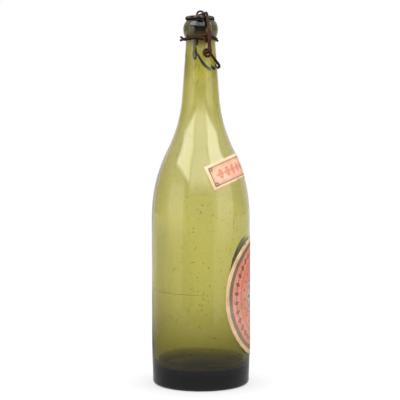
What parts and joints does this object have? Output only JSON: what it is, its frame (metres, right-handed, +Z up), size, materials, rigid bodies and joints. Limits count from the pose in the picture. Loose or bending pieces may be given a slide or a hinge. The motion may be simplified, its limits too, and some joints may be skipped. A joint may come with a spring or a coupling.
{
  "type": "swing top bottle",
  "caption": "Olive-green blown glass bottle with a blob lip, closed by a rubber stopper on a bent-wire swing bail with a thumb lever.",
  "frame": {"origin": "centre of the base ring, on the table", "axes": "+Z up along the bottle, -Y to the thumb lever at the front, X along the pivots of the wires"},
  "size_m": [0.082, 0.0822, 0.3088],
  "materials": {
    "olive_glass": "clear olive-green glass with seeds",
    "rusty_wire": "rusted iron wire",
    "rusty_plate": "rusted iron sheet",
    "hard_rubber": "aged grey hard rubber",
    "seal_rubber": "matte black rubber",
    "label_paper": "printed paper, aged"
  },
  "bodies": {
    "bottle": {"glass_bottle": "olive_glass", "neck_wire_left": "rusty_wire", "neck_wire_right": "rusty_wire", "neck_label": "label_paper", "body_label": "label_paper"},
    "lever": {"lever_bail": "rusty_wire"},
    "yoke": {"yoke_bail": "rusty_wire"},
    "stopper": {"rubber_stopper": "hard_rubber", "seal_ring": "seal_rubber", "top_washer": "rusty_plate", "stopper_eye": "rusty_wire", "clinch_washer": "rusty_plate"}
  },
  "joints": [
    {"name": "lever_hinge", "type": "hinge", "parent": "bottle", "child": "lever", "pos_m": [0, 0, 0.2844], "axis": [-1, 0, 0], "range_deg": [0, 120]},
    {"name": "yoke_hinge", "type": "hinge", "parent": "lever", "child": "yoke", "pos_m": [0, 0.0012, 0.2722], "axis": [-1, 0, 0], "range_deg": [-84, 0]},
    {"name": "stopper_hinge", "type": "hinge", "parent": "yoke", "child": "stopper", "pos_m": [0, 0, 0.305], "axis": [-1, 0, 0], "range_deg": [-36, 0]}
  ],
  "couplings": [
    {"joint": "yoke_hinge", "follows": "lever_hinge", "ratio": -0.7},
    {"joint": "stopper_hinge", "follows": "lever_hinge", "ratio": -0.3}
  ]
}
